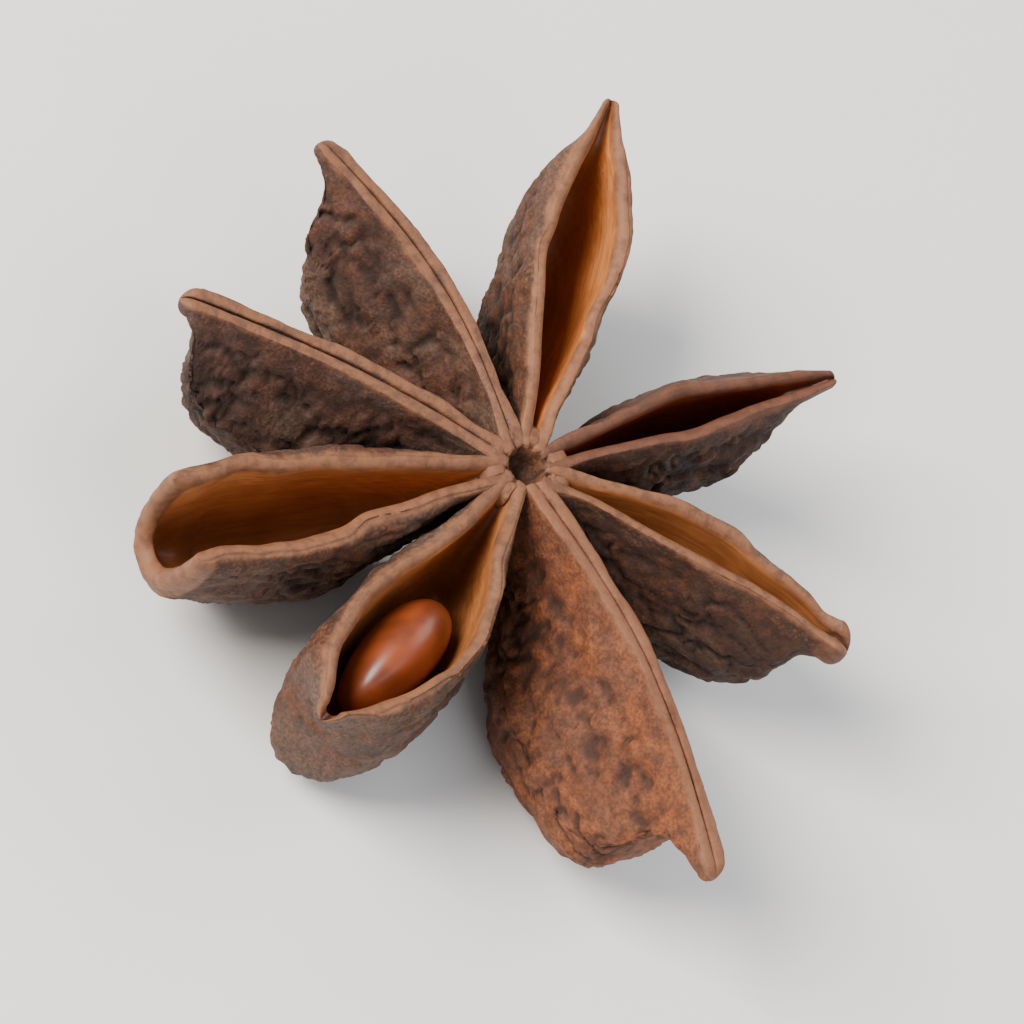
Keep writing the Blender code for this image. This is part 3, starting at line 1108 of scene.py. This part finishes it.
@dataclass
class Column:
    """The central column: a dimple on top where the follicles meet, the stalk's scar below.

    Lengths are in millimetres.
    """

    azimuths: tuple[float, ...]
    finish: DriedHusk
    build: HuskBuild = field(default_factory=HuskBuild)
    radius: float = 1.9
    sink: float = 0.35  # how far its rim lies under the seams
    dimple_radius: float = 0.75
    dimple_depth: float = 1.3
    scar_radius: float = 2.25
    scar_height: float = 2.3
    scar_edge: float = 0.35
    groove_edges: tuple[float, float] = (0.12, 0.36)  # radians from a follicle's middle
    groove_share: float = 0.22  # of the radius
    rim_dip: float = 0.55  # of the rim, in the grooves

    AROUND = 240
    ALONG = 150
    WRINKLE_MM = (0.7, 0.7, 1.4)
    WRINKLE_DEPTH = 0.10
    GRAIN_MM = 0.18
    GRAIN_HEIGHT = 0.03
    SEED = 77  # picks its fields of noise

    def make(self, pod_axis: Grid) -> bpy.types.Object:
        """The column, turned from one profile, with a groove between each two follicles.

        The profile is a smooth curve of radius and height from the dimple's floor, over the rim,
        down the waist and under to the scar's middle. The rim sinks between the follicles.

        Args:
            pod_axis: where the pod's axis stands, in millimetres.

        Returns:
            The column's object, with its material.
        """
        top = self.build.seam_height - self.sink
        profile = self._profile(top)
        run = np.concatenate([[0], np.linalg.norm(np.diff(profile, axis=0), axis=1).cumsum()])
        at = np.linspace(0, run[-1], self.ALONG)
        radius, height = (smooth_curve(run, profile[:, k], at)[:, None] for k in (0, 1))
        turn = np.linspace(0, 2 * np.pi, self.AROUND, endpoint=False)[None]
        between = ramp(*self.groove_edges, self._apart(turn))
        grooved = ramp(0.6, 1.4, radius) * (height > self.scar_height + 0.8)
        rim = ramp(0.8, 1.6, radius) * (height > top - 2.5)
        radius = radius * (1 - self.groove_share * between * grooved)
        height = height - self.rim_dip * between * rim
        ring = (radius * np.cos(turn), radius * np.sin(turn), height + 0 * turn)
        points = np.stack(ring, axis=-1)

        wrinkle = creases(points / self.WRINKLE_MM, self.SEED)
        grain = noise(points / self.GRAIN_MM, self.SEED + 1) - 0.5
        normal = normals_of(points)
        if normal[self.ALONG // 2, 0, 0] < 0:  # the waist's normals have to point away
            normal = -normal
        bumps = self.GRAIN_HEIGHT * grain - self.WRINKLE_DEPTH * wrinkle * ramp(0.2, 1.0, radius)
        points = points + normal * bumps[..., None]
        points[0], points[-1] = points[0].mean(axis=0), points[-1].mean(axis=0)

        scar = ramp(self.scar_height + 0.6, self.scar_height + 0.3, height) * np.ones_like(turn)
        crown = ramp(top - 0.9, top - 0.3, height) * np.ones_like(turn)
        reads = {layer: 0 * scar for layer in HUSK_LAYERS}
        reads["lip"] = np.maximum(0.75 * scar, 0.8 * crown * (1 - between))
        # the material paints shade into these creases
        reads["crease"] = np.clip(wrinkle * 0.8, 0, 1)
        local = points.copy()
        points[..., :2] += pod_axis
        made = mesh_of("column", points, reads, local)
        made.data.materials.append(self.finish.material())
        return made

    def _profile(self, top: float) -> Grid:
        """The points that the profile's curve goes through, from the dimple to the scar.

        Args:
            top: height of the rim.

        Returns:
            Radius and height of each.
        """
        return np.array(
            (
                (0.0, top - self.dimple_depth),
                (self.dimple_radius * 0.7, top - self.dimple_depth * 0.8),
                (self.dimple_radius, top - self.dimple_depth * 0.3),
                (self.dimple_radius * 1.5, top),
                (self.radius * 0.85, top - 0.1),
                (self.radius, top - 0.7),
                (self.radius * 0.95, (top + self.scar_height) / 2),
                (self.scar_radius, self.scar_height + self.scar_edge),
                (self.scar_radius - self.scar_edge, self.scar_height),
                (self.scar_radius * 0.5, self.scar_height + 0.12),
                (0.0, self.scar_height + 0.2),
            )
        )

    def _apart(self, turn: Grid) -> Grid:
        """How far each bearing is from the nearest follicle's.

        Args:
            turn: bearings in radians.

        Returns:
            Radians, in the shape of `turn`.
        """
        near = np.full_like(turn, np.pi)
        for azimuth in self.azimuths:
            apart = np.abs((turn - np.radians(azimuth) + np.pi) % (2 * np.pi) - np.pi)
            near = np.minimum(near, apart)
        return near


@dataclass
class Seed:
    """The one seed that is left, on edge in a gaping follicle. Lengths are in millimetres."""

    host: Follicle
    finish: SeedCoat = field(default_factory=SeedCoat)
    length: float = 6.0
    height: float = 4.0
    thickness: float = 2.7
    share: float = 0.60  # where its middle lies along the host's seam
    down: float = 2.9  # how far its middle lies under the seam
    tilt: float = 8.0  # how far its outer end is raised, in degrees
    egg: float = 0.14  # how much fuller it is towards its inner end
    belly: float = 0.05  # how much longer it is below than above
    scar_angles: tuple[float, float] = (0.42, 0.22)  # radians from its inner pole
    scar_step: float = 0.18  # how far the scar stands in

    AROUND = 96
    ALONG = 72
    FULLNESS = 0.9  # the power of its sections' growth: under 1 its ends are blunt

    def make(self, pod_axis: Grid) -> bpy.types.Object:
        """The seed: an egg, flattened on both sides, with a blunt scar where it hung.

        It is a round of sections that grow by a power of a sine along a cosine, tilted, and laid
        along the host's seam.

        Args:
            pod_axis: where the pod's axis stands, in millimetres.

        Returns:
            The seed's object, with its material.
        """
        polar = np.linspace(0, np.pi, self.ALONG)[:, None]
        turn = np.linspace(0, 2 * np.pi, self.AROUND, endpoint=False)[None]
        swell = np.sin(polar) ** self.FULLNESS * (1 + self.egg * np.cos(polar))
        scar = ramp(*self.scar_angles, polar) * np.ones_like(turn)
        along = -self.length / 2 * np.cos(polar) * (1 - self.belly * np.sin(turn) * np.sin(polar))
        along = along + self.scar_step * scar
        across = self.thickness / 2 * swell * np.cos(turn)
        up = self.height / 2 * swell * np.sin(turn)
        cos, sin = np.cos(np.radians(self.tilt)), np.sin(np.radians(self.tilt))
        along, up = along * cos - up * sin, along * sin + up * cos

        seat = self.host.spot(self.share, self.down)
        out = self.host.spot(self.share + 0.05, self.down) - seat
        out /= np.linalg.norm(out)
        aside = np.cross((0.0, 0.0, 1.0), out)
        aside /= np.linalg.norm(aside)
        top = np.cross(out, aside)
        points = seat + along[..., None] * out + across[..., None] * aside + up[..., None] * top
        points[..., :2] += pod_axis
        points[0], points[-1] = points[0].mean(axis=0), points[-1].mean(axis=0)
        local = np.stack([along, across, up], axis=-1)
        made = mesh_of("seed", points, {"scar": scar}, local)
        made.data.materials.append(self.finish.material())
        return made


class Pod:
    """The whole pod: its eight follicles, its column and the seed that one of them holds."""

    def __init__(self) -> None:
        """Lists the follicles with their sizes and the tint of each, with painted light or shade in
        some.
        """
        # follicle 1: its lining is brightened as painted light
        lit_lining = DriedHusk(
            "husk_1", outside="#5c3824", lip="#85573a", lining="#d68c50", lining_shade="#a8642f",
            floor="#5a2c12",
        )
        # follicle 2: its narrow hollow's lining and floor are darkened as painted shade, and its
        # husk is darker
        shaded_lining = DriedHusk(
            "husk_2", outside="#45281b", lip="#653d2a", lining="#84401f", lining_shade="#5a2412",
            floor="#361409",
        )
        # follicle 3: a darker brown, partly its own tone and partly painted shade
        dark_and_shaded = DriedHusk("husk_3", outside="#3f2518", warm="#55301b", bloom_share=0.25)
        ruddy = DriedHusk(
            "husk_4", outside="#713e24", warm="#874a25", shade="#361b0e", bloom_share=0.12
        )
        dusty = DriedHusk("husk_5", outside="#503628", bloom_share=0.5)
        plain = DriedHusk("husk_brown")
        grey = DriedHusk(
            "husk_7", outside="#462c22", warm="#543223", bloom="#5f4a3f", bloom_share=0.6
        )
        grey_brown = DriedHusk("husk_8", outside="#4a2e22", warm="#5a3524", bloom_share=0.6)
        self.follicles = [
            Follicle(1, 117.5, 15.2, 8.75, 4.5, lit_lining, Seam.GAPING, gape=2.2, gape_at=0.62,
                     hollow=5.6, rise=1.0, blunt=0.2, beak=0.10, tip=0.4, sway=0.6),
            Follicle(2, 63.2, 13.1, 7.9, 4.3, shaded_lining, Seam.GAPING, gape=0.85, gape_at=0.5,
                     hollow=4.2, rise=0.7, blunt=0.2, beak=0.14, tip=0.45, bow=0.3),
            Follicle(3, 20.4, 14.0, 8.4, 4.8, dark_and_shaded, Seam.GAPING, gape=0.75, gape_at=0.42,
                     hollow=4.0, rise=-0.3, blunt=0.6, beak=0.10, tip=0.9, sway=-0.6, bow=0.6,
                     bead=0.2),
            Follicle(4, 335.4, 17.1, 8.8, 6.0, ruddy, rise=0.5, blunt=0.8, beak=0.14, tip=0.6,
                     bow=1.1, roll=-13.0),
            Follicle(5, 275.4, 13.5, 8.5, 5.6, dusty, Seam.GAPING, gape=3.5, gape_at=0.66,
                     hollow=5.4, rise=-0.1, blunt=0.95, beak=0.05, bow=0.5, roll=6.0),
            Follicle(6, 238.8, 14.2, 8.5, 5.0, plain, Seam.SPLIT, gape=2.5, gape_at=0.88,
                     hollow=5.6, split=0.9, rise=0.3, blunt=0.7, beak=0.05),
            Follicle(7, 203.3, 14.4, 8.3, 5.0, grey, rise=0.5, blunt=0.5, beak=0.06, bow=-0.5),
            Follicle(8, 168.0, 14.3, 8.8, 5.3, grey_brown, rise=0.7, blunt=0.15, beak=0.10,
                     bow=-1.1),
        ]
        bearings = tuple(follicle.azimuth for follicle in self.follicles)
        self.column = Column(bearings, DriedHusk("husk_column", outside="#5a3722"))
        self.seed = Seed(self.follicles[4])

    def axis(self) -> Grid:
        """Where the pod's axis stands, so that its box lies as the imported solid's does.

        Returns:
            The place on the table in millimetres.
        """
        points = np.concatenate([one.plain_points().reshape(-1, 3) for one in self.follicles])
        own = (points.min(axis=0) + points.max(axis=0))[:2] / 2
        low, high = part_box(POD_NODE)
        packed = np.array(((low.x + high.x) / 2, (low.y + high.y) / 2)) / MM
        return packed - own

    def make(self) -> list[bpy.types.Object]:
        """Builds every piece, on the root body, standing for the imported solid.

        Returns:
            The pieces.
        """
        axis = self.axis()
        pieces = []
        for part in (*self.follicles, self.column, self.seed):
            piece = part.make(axis)
            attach(piece, "root")
            if part is not self.seed:
                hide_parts(POD_NODE)
            pieces.append(piece)
            log.info("%s: %d faces", piece.name, len(piece.data.polygons))
        return pieces


# --- the studio --------------------------------------------------------------------------------


@dataclass(frozen=True)
class SoftBox:
    """A square studio light that looks at the pod, with its lengths in metres."""

    name: str
    azimuth: float
    elevation: float
    distance: float
    size: float
    watts: float
    colour: str = "#ffffff"

    def make(self, target: Vector) -> None:
        """Hangs the light at its bearing round the target, and turns it to face it.

        Args:
            target: the place that it looks at.
        """
        data = bpy.data.lights.new(self.name, "AREA")
        data.shape = "SQUARE"
        data.size = self.size
        data.energy = self.watts
        data.color = linear(self.colour)[:3]
        lamp = bpy.data.objects.new(self.name, data)
        back = bearing(self.azimuth, self.elevation)
        lamp.location = target + back * self.distance
        lamp.rotation_euler = (-back).to_track_quat("-Z", "Y").to_euler()
        bpy.context.scene.collection.objects.link(lamp)


def bearing(azimuth: float, elevation: float) -> Vector:
    """The direction from the pod to a viewer: azimuth 0 is on the -Y side, 90 on the +X side."""
    a, e = np.radians(azimuth), np.radians(elevation)
    return Vector((np.sin(a) * np.cos(e), -np.cos(a) * np.cos(e), np.sin(e)))


@dataclass
class Studio:
    """A pale table, soft lights, and a camera that looks down on the pod from far off.

    Lengths are in metres and angles in degrees.
    """

    azimuth: float = 0.0
    elevation: float = 60.0
    roll: float = 45.0
    distance: float = 0.32
    field: float = 0.0385
    table_size: float = 4.0
    surroundings: str = "#f3f4f6"
    surroundings_strength: float = 0.42
    lights: tuple[SoftBox, ...] = (
        SoftBox("key", -58, elevation=44, distance=0.42, size=0.22, watts=3.9, colour="#fff8f0"),
        SoftBox("fill", 70, elevation=40, distance=0.5, size=0.4, watts=1.1, colour="#f4f8ff"),
        SoftBox("back", 165, elevation=38, distance=0.5, size=0.35, watts=1.3),
    )

    def make(self) -> None:
        """Builds the table, the lights, the pale surroundings and the camera."""
        low, high = CAD_BOX
        target = (low + high) / 2
        self._table()
        for light in self.lights:
            light.make(target)
        world = bpy.data.worlds.new("surroundings")
        bpy.context.scene.world = world
        world.use_nodes = True
        background = world.node_tree.nodes["Background"]
        background.inputs["Color"].default_value = linear(self.surroundings)
        background.inputs["Strength"].default_value = self.surroundings_strength
        self._camera(target)

    def _table(self) -> None:
        """A flat, pale square under the pod."""
        half = self.table_size / 2
        mesh = bpy.data.meshes.new("table")
        corners = [(-half, -half, 0.0), (half, -half, 0.0), (half, half, 0.0), (-half, half, 0.0)]
        mesh.from_pydata(corners, [], [(0, 1, 2, 3)])
        mesh.materials.append(PaleTable().material())
        table = bpy.data.objects.new("table", mesh)
        bpy.context.scene.collection.objects.link(table)

    def _camera(self, target: Vector) -> None:
        """A long lens whose picture is `field` metres wide at the pod, turned by `roll`.

        Args:
            target: the place that it looks at.
        """
        data = bpy.data.cameras.new("camera")
        data.lens = data.sensor_width * self.distance / self.field
        data.clip_start, data.clip_end = 0.01, 10.0
        camera = bpy.data.objects.new("camera", data)
        back = bearing(self.azimuth, self.elevation)
        level = back.to_track_quat("Z", "Y").to_matrix()
        turned = level @ Matrix.Rotation(np.radians(self.roll), 3, "Z")
        camera.matrix_world = Matrix.Translation(target + back * self.distance) @ turned.to_4x4()
        bpy.context.scene.collection.objects.link(camera)
        bpy.context.scene.camera = camera


def main() -> None:
    logging.basicConfig(level=logging.INFO, format="%(message)s")
    Pod().make()
    Studio().make()


if __name__ == "__main__":
    main()
